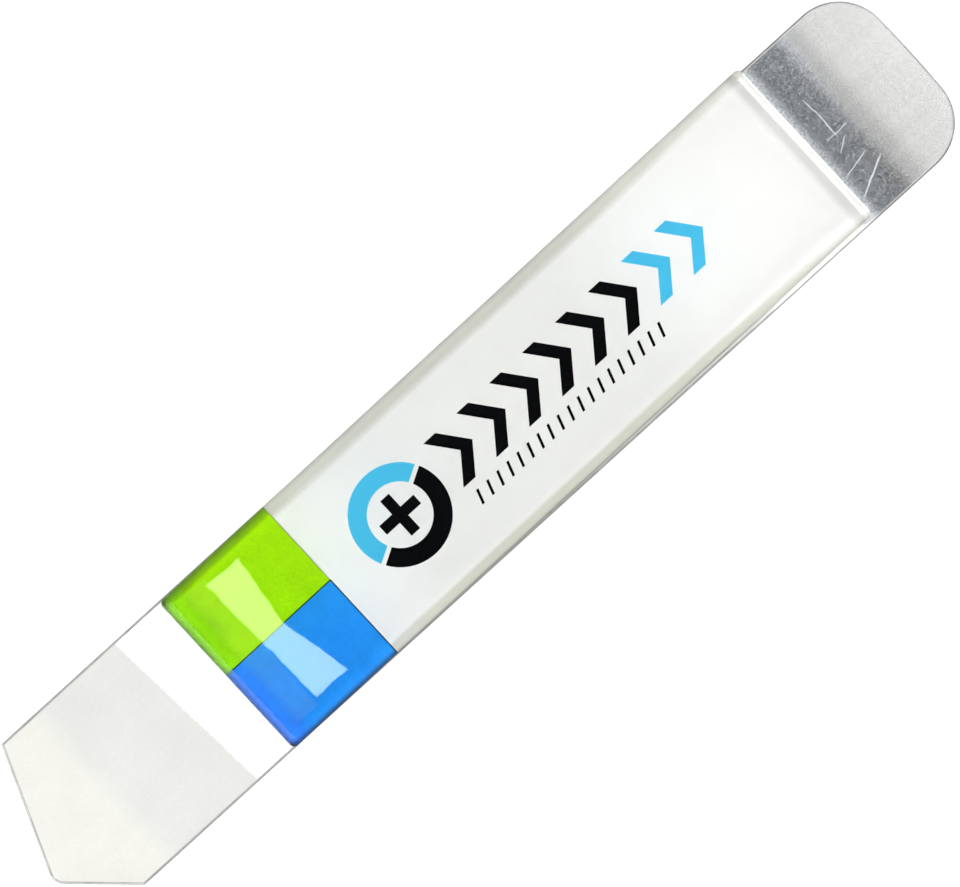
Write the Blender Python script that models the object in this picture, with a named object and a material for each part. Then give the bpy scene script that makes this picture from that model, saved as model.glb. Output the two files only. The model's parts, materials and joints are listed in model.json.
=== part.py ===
"""Double-ended flat opening tool: a thin spring-steel blade with a domed label on each face.

Metres, +Z up. The blade's long axis lies along X, its blunt rounded end at +X and
its off-centre point at -X. The origin is the middle of the footprint on the rest
plane: the tool lies on the flat crown of its back dome.
"""

import math

import bmesh
import bpy
from mathutils import Vector

MM = 0.001

# Steel blade.
BLADE_LENGTH = 118.0 * MM
BLADE_WIDTH = 19.8 * MM
BLADE_THICKNESS = 0.2 * MM

# Pointed end: two straight cuts that meet off the centre line in a small round tip.
POINT_UPPER_CUT = 5.3 * MM  # how far the cut on the +Y side starts from the end
POINT_LOWER_CUT = 6.45 * MM  # the same on the -Y side
POINT_TIP_Y = -3.75 * MM
POINT_TIP_RADIUS = 1.3 * MM
POINT_TIP_OVERSHOOT = 0.3 * MM  # where the cuts would meet past the rounded tip
POINT_SHOULDER_RADIUS = 0.15 * MM

# Rounded end: a slightly bowed edge between two round corners.
ROUND_END_RADIUS = 5.4 * MM
ROUND_END_BOW = 0.4 * MM
ROUND_END_BOW_RADIUS = 60.0 * MM

# Label, the same on both faces: adhesive sheet, face film in three butted panels, resin dome.
LABEL_LENGTH = 77.8 * MM
LABEL_WIDTH = 19.6 * MM
LABEL_CORNER_RADIUS = 0.6 * MM
LABEL_CENTRE_X = 6.2 * MM
LABEL_CENTRE_Y = 0.22 * MM  # from the blade's centre line
LABEL_ANGLE = math.radians(0.4)  # it is laid slightly crooked on the blade
COLOUR_PANEL_LENGTH = 13.97 * MM
PANEL_SEAM = 0.1 * MM

ADHESIVE_THICKNESS = 0.10 * MM
FILM_THICKNESS = 0.16 * MM
# The layers are stuck face to face. They are exact flat planes, so this bond line
# is enough to keep the solids apart.
BOND_GAP = 0.02 * MM

DOME_HEIGHT = 1.3 * MM
DOME_WALL = 0.12 * MM  # upright rim before the shoulder turns in
DOME_SHOULDER_WIDTH = 2.2 * MM
DOME_SHOULDER_STEPS = 7
DOME_CORNER_SOFTENING = 0.8  # how fast the plan corners grow rounder going up the shoulder

ARC_STEPS = 6  # straight pieces in a rounded corner

ADHESIVE_BOTTOM = BLADE_THICKNESS / 2 + BOND_GAP
FILM_BOTTOM = ADHESIVE_BOTTOM + ADHESIVE_THICKNESS + BOND_GAP
DOME_BOTTOM = FILM_BOTTOM + FILM_THICKNESS + BOND_GAP
BLADE_MID_HEIGHT = DOME_BOTTOM + DOME_HEIGHT  # half the tool's thickness

# The crooked labels hang over the blade's +Y edge near the rounded end. The blade's
# centre line is moved by half of that, so that the origin is the middle of the footprint.
LABEL_OVERHANG = (
    LABEL_CENTRE_Y
    + (LABEL_LENGTH / 2 - LABEL_CORNER_RADIUS) * math.sin(LABEL_ANGLE)
    + (LABEL_WIDTH / 2 - LABEL_CORNER_RADIUS) * math.cos(LABEL_ANGLE)
    + LABEL_CORNER_RADIUS
    - BLADE_WIDTH / 2
)
BLADE_CENTRE_Y = -LABEL_OVERHANG / 2

# Linear RGB.
STEEL_COLOUR = (0.62, 0.62, 0.61)
ADHESIVE_COLOUR = (0.80, 0.79, 0.74)
WHITE_COLOUR = (0.86, 0.87, 0.87)
GREEN_COLOUR = (0.30, 0.78, 0.02)
BLUE_COLOUR = (0.02, 0.26, 0.90)
RESIN_COLOUR = (0.93, 0.95, 0.95)


def remove_all_objects():
    """Empties the scene that the script is run in."""
    for existing in list(bpy.data.objects):
        bpy.data.objects.remove(existing, do_unlink=True)


def material(name, colour, roughness, metallic=0.0, transmission=0.0, alpha=1.0):
    """A plain Principled material."""
    made = bpy.data.materials.new(name)
    made.use_nodes = True
    shader = made.node_tree.nodes["Principled BSDF"]
    shader.inputs["Base Color"].default_value = (*colour, 1.0)
    shader.inputs["Roughness"].default_value = roughness
    shader.inputs["Metallic"].default_value = metallic
    shader.inputs["Transmission Weight"].default_value = transmission
    shader.inputs["Alpha"].default_value = alpha
    made.diffuse_color = (*colour, alpha)
    return made


def rounded_corner(before, corner, after, radius):
    """The points of a round corner that is tangent to the two edges meeting at it."""
    if radius == 0.0:
        return [corner]
    inward = (before - corner).normalized()
    outward = (after - corner).normalized()
    half_angle = inward.angle(outward) / 2
    centre = corner + (inward + outward).normalized() * radius / math.sin(half_angle)
    start = corner + inward * radius / math.tan(half_angle)
    turn = math.pi - 2 * half_angle
    arm = start - centre
    points = []
    for step in range(ARC_STEPS + 1):
        angle = turn * step / ARC_STEPS
        points.append(centre + Vector((
            arm.x * math.cos(angle) - arm.y * math.sin(angle),
            arm.x * math.sin(angle) + arm.y * math.cos(angle),
        )))
    return points


def rounded_outline(corners):
    """An anticlockwise outline from (x, y, radius) corners."""
    places = [Vector((x, y)) for x, y, _ in corners]
    outline = []
    for index, (_, _, radius) in enumerate(corners):
        before = places[index - 1]
        after = places[(index + 1) % len(places)]
        outline += rounded_corner(before, places[index], after, radius)
    return outline


def rectangle_corners(low_x, high_x, low_y, high_y, radii):
    """A rectangle's corners, anticlockwise from the low corner, each with its own radius."""
    places = ((low_x, low_y), (high_x, low_y), (high_x, high_y), (low_x, high_y))
    return [(x, y, radius) for (x, y), radius in zip(places, radii)]


def named_object(name, mesh_builder, finish, parent, smooth_below=0.0):
    """Turns a finished bmesh into a named object under its parent."""
    mesh = bpy.data.meshes.new(name)
    mesh_builder.to_mesh(mesh)
    mesh_builder.free()
    mesh.materials.append(finish)
    if smooth_below > 0.0:
        mesh.shade_smooth()
        mesh.set_sharp_from_angle(angle=smooth_below)
    made = bpy.data.objects.new(name, mesh)
    bpy.context.scene.collection.objects.link(made)
    made.parent = parent
    return made


def placed_empty(name, location, rotation):
    """An empty that carries the pieces of one assembly."""
    made = bpy.data.objects.new(name, None)
    bpy.context.scene.collection.objects.link(made)
    made.location = location
    made.rotation_euler = rotation
    return made


def flat_plate(outline, thickness):
    """A plate that stands on z = 0 and is extruded up by its thickness."""
    plate = bmesh.new()
    face = plate.faces.new([plate.verts.new((p.x, p.y, 0.0)) for p in outline])
    extruded = bmesh.ops.extrude_face_region(plate, geom=[face])["geom"]
    raised = [part for part in extruded if isinstance(part, bmesh.types.BMVert)]
    bmesh.ops.translate(plate, verts=raised, vec=(0.0, 0.0, thickness))
    bmesh.ops.recalc_face_normals(plate, faces=plate.faces)
    return plate


def ring_of_edges(builder, outline, height):
    """A closed loop of edges at one height."""
    verts = [builder.verts.new((p.x, p.y, height)) for p in outline]
    return [
        builder.edges.new((vert, verts[(index + 1) % len(verts)]))
        for index, vert in enumerate(verts)
    ]


def blade_outline():
    """The blade in plan: blunt rounded end at +X, off-centre point at -X."""
    half_length = BLADE_LENGTH / 2
    half_width = BLADE_WIDTH / 2
    return rounded_outline([
        (-half_length + POINT_LOWER_CUT, -half_width, POINT_SHOULDER_RADIUS),
        (half_length - ROUND_END_BOW, -half_width, ROUND_END_RADIUS),
        (half_length, 0.0, ROUND_END_BOW_RADIUS),
        (half_length - ROUND_END_BOW, half_width, ROUND_END_RADIUS),
        (-half_length + POINT_UPPER_CUT, half_width, POINT_SHOULDER_RADIUS),
        (-half_length - POINT_TIP_OVERSHOOT, POINT_TIP_Y, POINT_TIP_RADIUS),
    ])


def make_blade(steel, parent):
    """The one-piece steel blade, centred on its mid-plane."""
    blade = named_object("blade", flat_plate(blade_outline(), BLADE_THICKNESS), steel, parent)
    blade.location = (0.0, 0.0, -BLADE_THICKNESS / 2)
    return blade


def make_adhesive_sheet(side, adhesive, label):
    """The sheet that holds the label to the blade."""
    corners = rectangle_corners(
        -LABEL_LENGTH / 2, LABEL_LENGTH / 2, -LABEL_WIDTH / 2, LABEL_WIDTH / 2,
        [LABEL_CORNER_RADIUS] * 4,
    )
    plate = flat_plate(rounded_outline(corners), ADHESIVE_THICKNESS)
    sheet = named_object(f"{side}_adhesive_sheet", plate, adhesive, label)
    sheet.location = (0.0, 0.0, ADHESIVE_BOTTOM)
    return sheet


def make_film_panel(name, low_x, high_x, low_y, high_y, radii, finish, label):
    """One butted panel of the label's face film."""
    corners = rectangle_corners(low_x, high_x, low_y, high_y, radii)
    panel = named_object(name, flat_plate(rounded_outline(corners), FILM_THICKNESS), finish, label)
    panel.location = (0.0, 0.0, FILM_BOTTOM)
    return panel


def make_face_film(side, finishes, label):
    """White field over most of the label, green and blue fields next to the pointed end."""
    half_length = LABEL_LENGTH / 2
    half_width = LABEL_WIDTH / 2
    half_seam = PANEL_SEAM / 2
    seam_x = -half_length + COLOUR_PANEL_LENGTH
    radius = LABEL_CORNER_RADIUS
    make_film_panel(
        f"{side}_white_film", seam_x + half_seam, half_length, -half_width, half_width,
        (0.0, radius, radius, 0.0), finishes["white"], label,
    )
    make_film_panel(
        f"{side}_green_panel", -half_length, seam_x - half_seam, half_seam, half_width,
        (0.0, 0.0, 0.0, radius), finishes["green"], label,
    )
    make_film_panel(
        f"{side}_blue_panel", -half_length, seam_x - half_seam, -half_width, -half_seam,
        (radius, 0.0, 0.0, 0.0), finishes["blue"], label,
    )


def make_resin_dome(side, resin, label):
    """Clear resin over the whole film: an upright rim, a quarter-ellipse shoulder, a flat crown."""
    builder = bmesh.new()
    levels = [(0.0, 0.0)]
    for step in range(DOME_SHOULDER_STEPS + 1):
        angle = math.pi / 2 * step / DOME_SHOULDER_STEPS
        inset = DOME_SHOULDER_WIDTH * (1.0 - math.cos(angle))
        levels.append((inset, DOME_WALL + (DOME_HEIGHT - DOME_WALL) * math.sin(angle)))
    rings = []
    for inset, height in levels:
        radius = LABEL_CORNER_RADIUS + DOME_CORNER_SOFTENING * inset
        corners = rectangle_corners(
            inset - LABEL_LENGTH / 2, LABEL_LENGTH / 2 - inset,
            inset - LABEL_WIDTH / 2, LABEL_WIDTH / 2 - inset, [radius] * 4,
        )
        rings.append(ring_of_edges(builder, rounded_outline(corners), height))
    for lower, upper in zip(rings, rings[1:]):
        bmesh.ops.bridge_loops(builder, edges=lower + upper)
    for ring in (rings[0], rings[-1]):
        bmesh.ops.contextual_create(builder, geom=ring)
    bmesh.ops.recalc_face_normals(builder, faces=builder.faces)
    dome = named_object(f"{side}_resin_dome", builder, resin, label, smooth_below=math.radians(35))
    dome.location = (0.0, 0.0, DOME_BOTTOM)
    return dome


def make_label(side, roll, finishes, tool):
    """All the layers on one face of the blade, carried by one empty."""
    label = placed_empty(
        f"{side}_label", (LABEL_CENTRE_X, LABEL_CENTRE_Y, 0.0), (roll, 0.0, LABEL_ANGLE)
    )
    label.parent = tool
    make_adhesive_sheet(side, finishes["adhesive"], label)
    make_face_film(side, finishes, label)
    make_resin_dome(side, finishes["resin"], label)


def main():
    remove_all_objects()
    finishes = {
        "steel": material("steel", STEEL_COLOUR, roughness=0.28, metallic=1.0),
        "adhesive": material("adhesive", ADHESIVE_COLOUR, roughness=0.6),
        "white": material("white_film", WHITE_COLOUR, roughness=0.4),
        "green": material("green_film", GREEN_COLOUR, roughness=0.35),
        "blue": material("blue_film", BLUE_COLOUR, roughness=0.35),
        "resin": material("clear_resin", RESIN_COLOUR, roughness=0.05, transmission=1.0, alpha=0.35),
    }
    tool = placed_empty("tool", (0.0, BLADE_CENTRE_Y, BLADE_MID_HEIGHT), (0.0, 0.0, 0.0))
    make_blade(finishes["steel"], tool)
    make_label("front", 0.0, finishes, tool)
    # The back label is the same label turned face down, and lies right under the front one.
    make_label("back", math.pi, finishes, tool)


main()
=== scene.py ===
"""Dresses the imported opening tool: a thin steel blade, gripped by a resin-domed label on each face."""

import json
import logging
import math
from collections.abc import Callable, Iterable
from dataclasses import dataclass
from enum import Enum
from functools import cached_property

import bmesh
import bpy
from bpy.types import Material, Node, NodeSocket, NodeTree, Object
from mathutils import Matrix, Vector

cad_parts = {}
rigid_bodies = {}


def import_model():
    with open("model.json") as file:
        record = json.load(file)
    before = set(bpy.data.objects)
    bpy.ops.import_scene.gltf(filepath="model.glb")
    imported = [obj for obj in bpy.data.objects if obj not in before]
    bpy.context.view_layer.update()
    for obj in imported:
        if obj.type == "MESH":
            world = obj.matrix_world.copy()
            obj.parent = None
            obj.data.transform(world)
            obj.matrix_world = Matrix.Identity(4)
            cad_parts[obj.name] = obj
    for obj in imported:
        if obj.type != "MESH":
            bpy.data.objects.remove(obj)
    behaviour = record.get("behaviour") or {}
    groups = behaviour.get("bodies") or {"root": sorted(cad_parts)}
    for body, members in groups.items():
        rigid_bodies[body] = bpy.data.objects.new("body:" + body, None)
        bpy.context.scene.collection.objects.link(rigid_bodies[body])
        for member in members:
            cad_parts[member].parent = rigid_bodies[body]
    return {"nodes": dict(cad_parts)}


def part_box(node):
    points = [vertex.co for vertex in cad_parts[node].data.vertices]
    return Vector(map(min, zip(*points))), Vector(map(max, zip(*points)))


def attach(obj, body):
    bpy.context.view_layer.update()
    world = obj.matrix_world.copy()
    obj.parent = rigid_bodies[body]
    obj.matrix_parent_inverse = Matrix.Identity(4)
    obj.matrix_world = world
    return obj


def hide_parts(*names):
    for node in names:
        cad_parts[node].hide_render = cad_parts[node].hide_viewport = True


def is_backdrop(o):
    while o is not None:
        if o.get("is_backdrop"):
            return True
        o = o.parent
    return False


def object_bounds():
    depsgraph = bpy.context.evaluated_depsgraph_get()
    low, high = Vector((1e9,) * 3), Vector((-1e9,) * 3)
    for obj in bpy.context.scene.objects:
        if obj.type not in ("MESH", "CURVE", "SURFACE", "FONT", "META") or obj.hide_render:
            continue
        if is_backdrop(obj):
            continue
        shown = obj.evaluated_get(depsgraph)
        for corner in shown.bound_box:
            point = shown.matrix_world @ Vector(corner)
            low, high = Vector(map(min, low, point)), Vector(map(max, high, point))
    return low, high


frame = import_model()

MM = 0.001
ORIGIN = (0.0, 0.0, 0.0)
BODY = "root"
LABEL_ANGLE = math.radians(0.4)  # how crooked the labels lie on the blade
NEAR = 0.005 * MM  # how close a place has to be to count as the same one
ON_PLANE = 0.0005 * MM  # how close a vertex has to be to a cut to count as on it
LEVEL = 0.95  # how upright a face's normal has to be for the face to count as level
CRISP_ABOVE = math.radians(30)  # edges that turn by more than this stay crisp on a plain piece

log = logging.getLogger("opening_tool")


# ---- Working in Blender as by hand ----


def deselect_everything() -> None:
    """Goes back to object mode with nothing selected."""
    if bpy.context.object is not None and bpy.context.object.mode != "OBJECT":
        bpy.ops.object.mode_set(mode="OBJECT")
    bpy.ops.object.select_all(action="DESELECT")


def take_up(piece: Object) -> None:
    """Makes one object the active and only selected one.

    Args:
        piece: The object to work on.
    """
    deselect_everything()
    piece.select_set(True)
    bpy.context.view_layer.objects.active = piece


def start_piece(
    name: str, primitive: Callable[..., set], centre: Vector,
    scale: Iterable[float] = (1.0, 1.0, 1.0), **shape: object,
) -> Object:
    """Adds a primitive, applies its size and place to its mesh and opens it in edit mode, nothing selected.

    Args:
        name: The piece's name.
        primitive: The operator that adds it.
        centre: Its middle.
        scale: How it is stretched.
        **shape: The operator's own settings.

    Returns:
        The new object.
    """
    deselect_everything()
    primitive(location=centre, **shape)
    piece = bpy.context.object
    piece.scale = scale
    piece.name = piece.data.name = name
    bpy.ops.object.transform_apply(location=True, rotation=True, scale=True)
    bpy.ops.object.mode_set(mode="EDIT")
    bpy.ops.mesh.select_all(action="DESELECT")
    return piece


def start_box(name: str, centre: Vector, extents: Vector) -> Object:
    """Starts a box from its middle and its full extents."""
    return start_piece(name, bpy.ops.mesh.primitive_cube_add, centre, extents, size=1.0)


def start_strip(name: str, centre: Vector, length: float, width: float) -> Object:
    """Starts a flat rectangle from its middle and its sizes along X and Y."""
    return start_piece(name, bpy.ops.mesh.primitive_plane_add, centre, (length, width, 1.0), size=1.0)


def select_where(piece: Object, kind: str, wanted: Callable[..., bool]) -> int:
    """Selects vertices, edges or faces in edit mode by a test on each.

    Args:
        piece: The object that is open in edit mode.
        kind: VERT, EDGE or FACE.
        wanted: Says whether an element is selected.

    Returns:
        How many are selected.
    """
    bpy.ops.mesh.select_mode(type=kind)
    bpy.ops.mesh.select_all(action="DESELECT")
    mesh = bmesh.from_edit_mesh(piece.data)
    mesh.normal_update()
    elements = {"VERT": mesh.verts, "EDGE": mesh.edges, "FACE": mesh.faces}[kind]
    chosen = [element for element in elements if wanted(element)]
    for element in chosen:
        element.select_set(True)
    bmesh.update_edit_mesh(piece.data)
    return len(chosen)


def middle_of(edge: bmesh.types.BMEdge) -> Vector:
    """The point halfway along an edge."""
    return (edge.verts[0].co + edge.verts[1].co) / 2


def is_upright(edge: bmesh.types.BMEdge) -> bool:
    """Says whether an edge runs along Z."""
    run = edge.verts[1].co - edge.verts[0].co
    return abs(run.x) < NEAR and abs(run.y) < NEAR


def select_uprights(piece: Object, places: list[Vector]) -> None:
    """Selects the open mesh's edges that run along Z near some places in plan."""
    reach = NEAR * 4
    select_where(
        piece, "EDGE", lambda e: is_upright(e) and any((middle_of(e) - p).xy.length < reach for p in places)
    )


def round_off(offset: float, segments: int) -> None:
    """Bevels the selected edges of the open mesh."""
    bpy.ops.mesh.bevel(offset=offset, offset_type="OFFSET", segments=segments, affect="EDGES")


def cut_away(point: Vector, normal: Vector) -> None:
    """Cuts the open mesh by a plane, removes what lies on the normal's side and closes the cut.

    Args:
        point: A point on the plane.
        normal: The plane's normal, towards what is removed.
    """
    bpy.ops.mesh.select_all(action="SELECT")
    bpy.ops.mesh.bisect(
        plane_co=point, plane_no=normal.normalized(), use_fill=True, clear_outer=True, threshold=ON_PLANE
    )


def score_across(places: Iterable[float]) -> None:
    """Cuts edges across the open mesh at several places along X, so that it can bend there."""
    for place in places:
        bpy.ops.mesh.select_all(action="SELECT")
        bpy.ops.mesh.bisect(plane_co=(place, 0.0, 0.0), plane_no=(1.0, 0.0, 0.0), threshold=ON_PLANE)


def close_piece(piece: Object, smooth_below: float = CRISP_ABOVE) -> None:
    """Merges doubles, turns the faces outwards, leaves edit mode and sets the shading.

    Args:
        piece: The object that is open in edit mode.
        smooth_below: Edges below this angle are shaded smooth.
    """
    bpy.ops.mesh.select_mode(type="VERT")
    bpy.ops.mesh.select_all(action="SELECT")
    bpy.ops.mesh.remove_doubles(threshold=ON_PLANE)
    bpy.ops.mesh.normals_make_consistent(inside=False)
    bpy.ops.mesh.select_all(action="DESELECT")
    take_up(piece)
    bpy.ops.object.shade_smooth_by_angle(angle=smooth_below, keep_sharp_edges=False)
    deselect_everything()


def grow_arm(piece: Object, middle: Vector, run: Vector) -> None:
    """Extrudes one edge of the open flat mesh, given by its middle."""
    select_where(piece, "EDGE", lambda e: (middle_of(e) - middle).length < NEAR)
    bpy.ops.mesh.extrude_region_move(TRANSFORM_OT_translate={"value": run})


def raise_sheet(piece: Object, height: float) -> Object:
    """Turns the open flat mesh into a solid by extruding all of it upwards, and closes it."""
    bpy.ops.mesh.select_all(action="SELECT")
    bpy.ops.mesh.extrude_region_move(TRANSFORM_OT_translate={"value": (0.0, 0.0, height)})
    close_piece(piece)
    return piece


def copies_joined(first: Object, name: str, shifts: list[Vector]) -> Object:
    """Copies one finished piece to several places and joins the copies into one piece.

    Args:
        first: The piece, which is used up.
        name: The joined piece's name.
        shifts: How far each copy is moved.

    Returns:
        The joined object.
    """
    made = []
    for shift in shifts:
        take_up(first)
        bpy.ops.object.duplicate(linked=False)
        twin = bpy.context.object
        twin.location = shift
        bpy.ops.object.transform_apply(location=True, rotation=False, scale=False)
        made.append(twin)
    bpy.data.objects.remove(first, do_unlink=True)
    deselect_everything()
    for twin in made:
        twin.select_set(True)
    bpy.context.view_layer.objects.active = made[0]
    if len(made) > 1:
        bpy.ops.object.join()
    joined = bpy.context.object
    joined.name = joined.data.name = name
    deselect_everything()
    return joined


# ---- Node building ----


class Tree:
    """A small hand for wiring shader nodes."""

    def __init__(self, nodes: NodeTree) -> None:
        """Keeps the node tree that the hand works on."""
        self.tree = nodes

    def add(self, kind: str, settings: dict | None = None, **inputs: object) -> Node:
        """Adds a node, sets its properties and feeds its inputs.

        Args:
            kind: The node's type, without the ShaderNode prefix.
            settings: Properties of the node.
            **inputs: Values or sockets by input name, with _ for a space, or i0, i1 for a numbered input.

        Returns:
            The node.
        """
        node = self.tree.nodes.new(f"ShaderNode{kind}")
        for key, value in (settings or {}).items():
            setattr(node, key, value)
        for key, value in inputs.items():
            numbered = key[0] == "i" and key[1:].isdigit()
            self.feed(node.inputs[int(key[1:]) if numbered else key.replace("_", " ")], value)
        return node

    def feed(self, socket: NodeSocket, value: object) -> None:
        """Links a socket to another, or sets its own value.

        Args:
            socket: The input.
            value: A socket to link from, or a number, vector or colour.
        """
        if isinstance(value, NodeSocket):
            self.tree.links.new(value, socket)
        else:
            socket.default_value = value

    def math(self, operation: str, *values: object, clamp: bool = False) -> NodeSocket:
        """Adds a Math node.

        Args:
            operation: Its operation.
            *values: Its inputs, in order.
            clamp: Whether the result is kept from 0 to 1.

        Returns:
            The value's socket.
        """
        inputs = {f"i{index}": value for index, value in enumerate(values)}
        return self.add("Math", {"operation": operation, "use_clamp": clamp}, **inputs).outputs[0]

    def vector(self, operation: str, *values: object) -> NodeSocket:
        """Adds a Vector Math node, like math, and gives the output that its operation uses."""
        inputs = {f"i{index}": value for index, value in enumerate(values)}
        node = self.add("VectorMath", {"operation": operation}, **inputs)
        return node.outputs["Value" if operation in ("DOT_PRODUCT", "LENGTH") else "Vector"]

    def span(self, value: object, low: float, high: float, to_low: float = 0.0, to_high: float = 1.0,
             smooth: bool = True) -> NodeSocket:
        """Maps a value from one range to another, kept inside the second.

        Args:
            value: The socket to map.
            low: The first range's start.
            high: Its end.
            to_low: The second range's start.
            to_high: Its end.
            smooth: Whether the change eases in and out.

        Returns:
            The mapped value's socket.
        """
        kind = "SMOOTHSTEP" if smooth else "LINEAR"
        node = self.add("MapRange", {"interpolation_type": kind}, Value=value)
        for name, number in (("From Min", low), ("From Max", high), ("To Min", to_low), ("To Max", to_high)):
            node.inputs[name].default_value = number
        return node.outputs["Result"]

    def blend(self, share: object, first: object, second: object, how: str = "MIX") -> NodeSocket:
        """Mixes two colours.

        Args:
            share: How much of the second.
            first: A colour or socket.
            second: A colour or socket.
            how: The blend type.

        Returns:
            The mixed colour's socket.
        """
        # Inputs 6 and 7 and output 2 of a Mix node are the ones for colours.
        node = self.add("Mix", {"data_type": "RGBA", "blend_type": how}, i0=share, i6=first, i7=second)
        return node.outputs[2]

    def apart(self, place: NodeSocket) -> list[NodeSocket]:
        """A vector's three numbers."""
        return list(self.add("SeparateXYZ", Vector=place).outputs)

    def group(self, tree: NodeTree, **inputs: object) -> Node:
        """Places a node group and feeds its inputs by name, with _ for a space."""
        return self.add("Group", {"node_tree": tree}, **inputs)


def new_group(name: str, outputs: list[str], **inputs: object) -> tuple[Tree, dict, dict]:
    """Makes an empty node group with named sockets.

    Args:
        name: The group's name.
        outputs: Each output's name.
        **inputs: Each input's default value by name, with _ for a space: a number, or three for a vector.

    Returns:
        The group's hand, its inputs' sockets by name, and its outputs' sockets by name.
    """
    tree = bpy.data.node_groups.new(name, "ShaderNodeTree")
    for key, value in inputs.items():
        kind = "NodeSocketVector" if isinstance(value, tuple) else "NodeSocketFloat"
        socket = tree.interface.new_socket(key.replace("_", " "), in_out="INPUT", socket_type=kind)
        socket.default_value = value
    for key in outputs:
        tree.interface.new_socket(key, in_out="OUTPUT", socket_type="NodeSocketFloat")
    source = tree.nodes.new("NodeGroupInput")
    sink = tree.nodes.new("NodeGroupOutput")
    given, result = ({s.name: s for s in sockets if s.name} for sockets in (source.outputs, sink.inputs))
    return Tree(tree), given, result


class SharedEffects:
    """The node groups that more than one finish uses, each built once."""

    def __init__(self) -> None:
        """Builds the groups."""
        self.grain = self._grain()
        self.scratch = self._scratch()
        self.specks = self._specks()

    @staticmethod
    def _grain() -> NodeTree:
        """Mottling at two scales: a soft cloud and a fine grain, each around 0."""
        hand, given, result = new_group(
            "surface_grain", ["Cloud", "Grain"], Place=ORIGIN, Cloud_Size=4.0, Grain_Size=0.3, Stretch=1.0
        )
        along, across, up = hand.apart(given["Place"])
        along = hand.math("DIVIDE", along, given["Stretch"])
        place = hand.add("CombineXYZ", X=along, Y=across, Z=up).outputs[0]
        for name, size, detail in (("Cloud", "Cloud Size", 3.0), ("Grain", "Grain Size", 2.0)):
            scale = hand.math("DIVIDE", 1.0, given[size])
            noise = hand.add("TexNoise", {"noise_dimensions": "3D"}, Vector=place, Scale=scale, Detail=detail)
            hand.feed(result[name], hand.math("SUBTRACT", noise.outputs[0], 0.5))
        return hand.tree

    @staticmethod
    def _scratch() -> NodeTree:
        """One thin scratch from one point to another, 1 on it and 0 off it."""
        hand, given, result = new_group(
            "scratch_line", ["Mask"], Place=ORIGIN, From=ORIGIN, To=(1.0, 0.0, 0.0), Width=0.1, Wander=0.1
        )
        wander = hand.add("TexNoise", Vector=given["Place"], Scale=0.6, Detail=1.0)
        off = hand.math("MULTIPLY", hand.math("SUBTRACT", wander.outputs[0], 0.5), given["Wander"])
        moved = hand.vector("ADD", given["Place"], hand.add("CombineXYZ", X=off, Y=off).outputs[0])
        flat = hand.vector("MULTIPLY", moved, (1.0, 1.0, 0.0))
        reach = hand.vector("SUBTRACT", flat, given["From"])
        run = hand.vector("SUBTRACT", given["To"], given["From"])
        along, whole = hand.vector("DOT_PRODUCT", reach, run), hand.vector("DOT_PRODUCT", run, run)
        share = hand.math("DIVIDE", along, whole, clamp=True)
        foot = hand.vector("SCALE", run)
        hand.feed(foot.node.inputs["Scale"], share)
        gap = hand.vector("LENGTH", hand.vector("SUBTRACT", reach, foot))
        faded = hand.math("SUBTRACT", 1.0, hand.math("DIVIDE", gap, given["Width"]), clamp=True)
        left = hand.math("SUBTRACT", 1.0, share)
        taper = hand.math("MULTIPLY", hand.math("MULTIPLY", share, left), 8.0, clamp=True)
        hand.feed(result["Mask"], hand.math("MULTIPLY", faded, taper))
        return hand.tree

    @staticmethod
    def _specks() -> NodeTree:
        """Scattered small round specks, 1 in each and 0 between."""
        hand, given, result = new_group("specks", ["Mask"], Place=ORIGIN, Spacing=3.0, Radius=0.1, Share=0.3)
        scale = hand.math("DIVIDE", 1.0, given["Spacing"])
        cells = hand.add("TexVoronoi", {"feature": "F1"}, Vector=given["Place"], Scale=scale)
        gap = hand.math("MULTIPLY", cells.outputs["Distance"], given["Spacing"])
        near = hand.math("SUBTRACT", 1.0, hand.math("DIVIDE", gap, given["Radius"]), clamp=True)
        pick = hand.add("SeparateColor", Color=cells.outputs["Color"]).outputs[0]
        kept = hand.math("LESS_THAN", pick, given["Share"])
        hand.feed(result["Mask"], hand.math("MULTIPLY", hand.math("POWER", near, 0.5), kept))
        return hand.tree


# ---- Finishes ----


Colour = tuple[float, float, float, float]


def grey(level: float) -> Colour:
    """A neutral colour."""
    return (level, level, level, 1.0)


@dataclass(frozen=True)
class LabelPlan:
    """Where the labels lie in plan, the same on both faces."""

    centre: tuple[float, float]
    angle: float
    length: float
    width: float
    corner_radius: float = 0.6 * MM

    @classmethod
    def measured(cls, angle: float) -> "LabelPlan":
        """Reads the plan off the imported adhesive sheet.

        Args:
            angle: How crooked the labels lie on the blade.

        Returns:
            The plan.
        """
        low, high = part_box("front_adhesive_sheet")
        round_off = 2 * cls.corner_radius
        across, along = high.y - low.y - round_off, high.x - low.x - round_off
        sine, cosine = math.sin(angle), math.cos(angle)
        spread = cosine ** 2 - sine ** 2
        return cls(
            centre=((low.x + high.x) / 2, (low.y + high.y) / 2),
            angle=angle,
            length=(cosine * along - sine * across) / spread + round_off,
            width=(cosine * across - sine * along) / spread + round_off,
        )


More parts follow.
